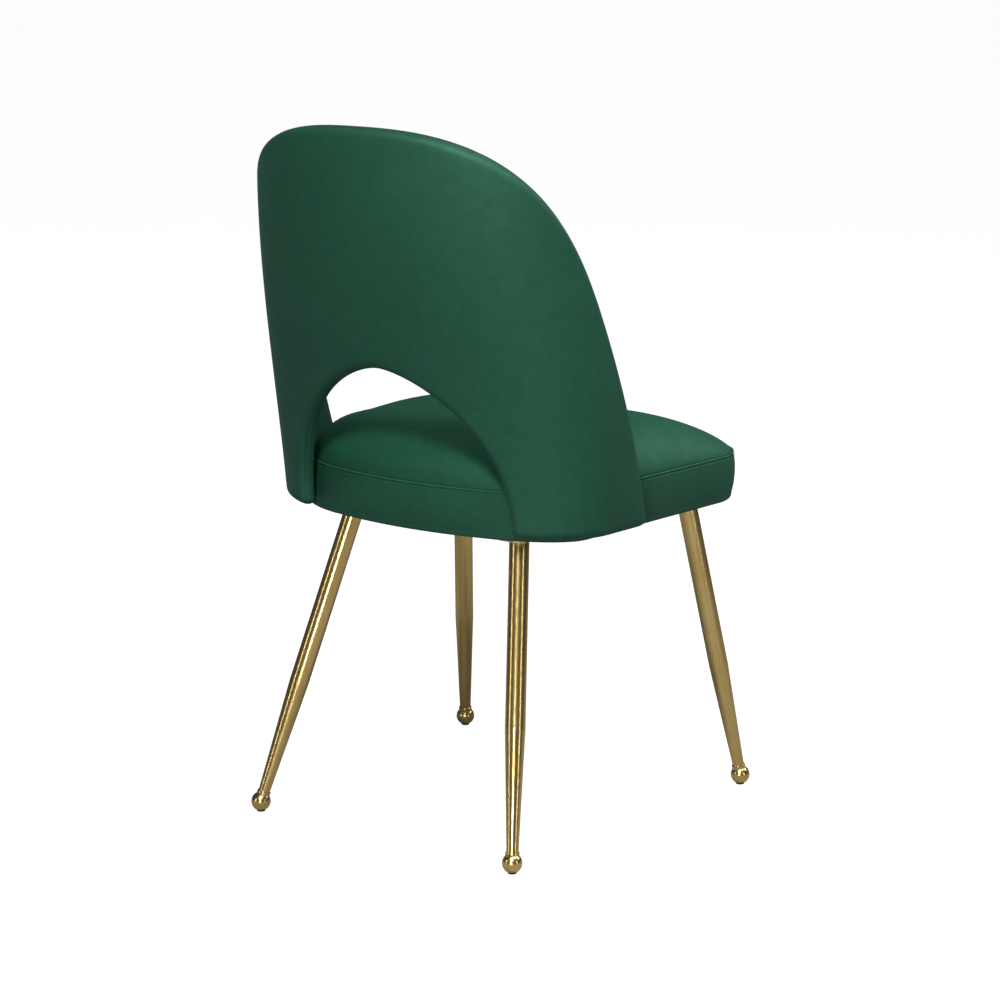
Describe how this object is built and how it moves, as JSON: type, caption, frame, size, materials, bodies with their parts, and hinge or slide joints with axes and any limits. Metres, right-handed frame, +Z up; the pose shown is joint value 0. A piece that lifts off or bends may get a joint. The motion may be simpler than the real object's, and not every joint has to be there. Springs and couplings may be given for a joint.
{
  "type": "upholstered dining chair",
  "caption": "Armless dining chair with a wrap-round padded back, arched lower opening, crowned seat and splayed tapered metal legs on ball feet.",
  "frame": {"origin": "on the floor, under the middle of the chair's overall length and width", "axes": "+X to the sitter's left, -Y the way the sitter faces, +Z up"},
  "size_m": [0.5124, 0.5547, 0.89],
  "materials": {
    "velvet": "short-pile bottle-green velvet with a soft sheen",
    "brass_finish": "brushed brass plating on steel",
    "plywood": "raw birch plywood",
    "foam": "open-cell polyurethane foam",
    "wadding": "soft white polyester wadding",
    "dust_cloth": "black non-woven cloth",
    "zinc_steel": "zinc-plated steel",
    "nylon": "dark moulded nylon"
  },
  "bodies": {
    "root": {"back_core": "plywood", "back_wadding": "wadding", "back_foam": "foam", "back_edge_foam": "foam", "back_outer_cover": "velvet", "back_inner_cover": "velvet", "back_edge_strip": "velvet", "back_arch_strip": "velvet", "seat_board": "plywood", "seat_foam": "foam", "seat_wadding": "wadding", "seat_top_cover": "velvet", "seat_boxing": "velvet", "seat_welt": "velvet", "seat_dust_cover": "dust_cloth", "cover_staples": "zinc_steel", "leg_tee_nuts": "zinc_steel", "leg_plate_front_left": "brass_finish", "leg_plate_front_right": "brass_finish", "leg_plate_rear_left": "brass_finish", "leg_plate_rear_right": "brass_finish", "leg_front_left": "brass_finish", "leg_front_right": "brass_finish", "leg_rear_left": "brass_finish", "leg_rear_right": "brass_finish", "foot_front_left": "brass_finish", "foot_front_right": "brass_finish", "foot_rear_left": "brass_finish", "foot_rear_right": "brass_finish", "foot_glides": "nylon", "leg_bolts": "zinc_steel", "back_bracket_left": "zinc_steel", "back_bracket_right": "zinc_steel", "bracket_bolts": "zinc_steel", "bracket_tee_nuts": "zinc_steel", "bracket_screws": "zinc_steel"}
  },
  "joints": []
}
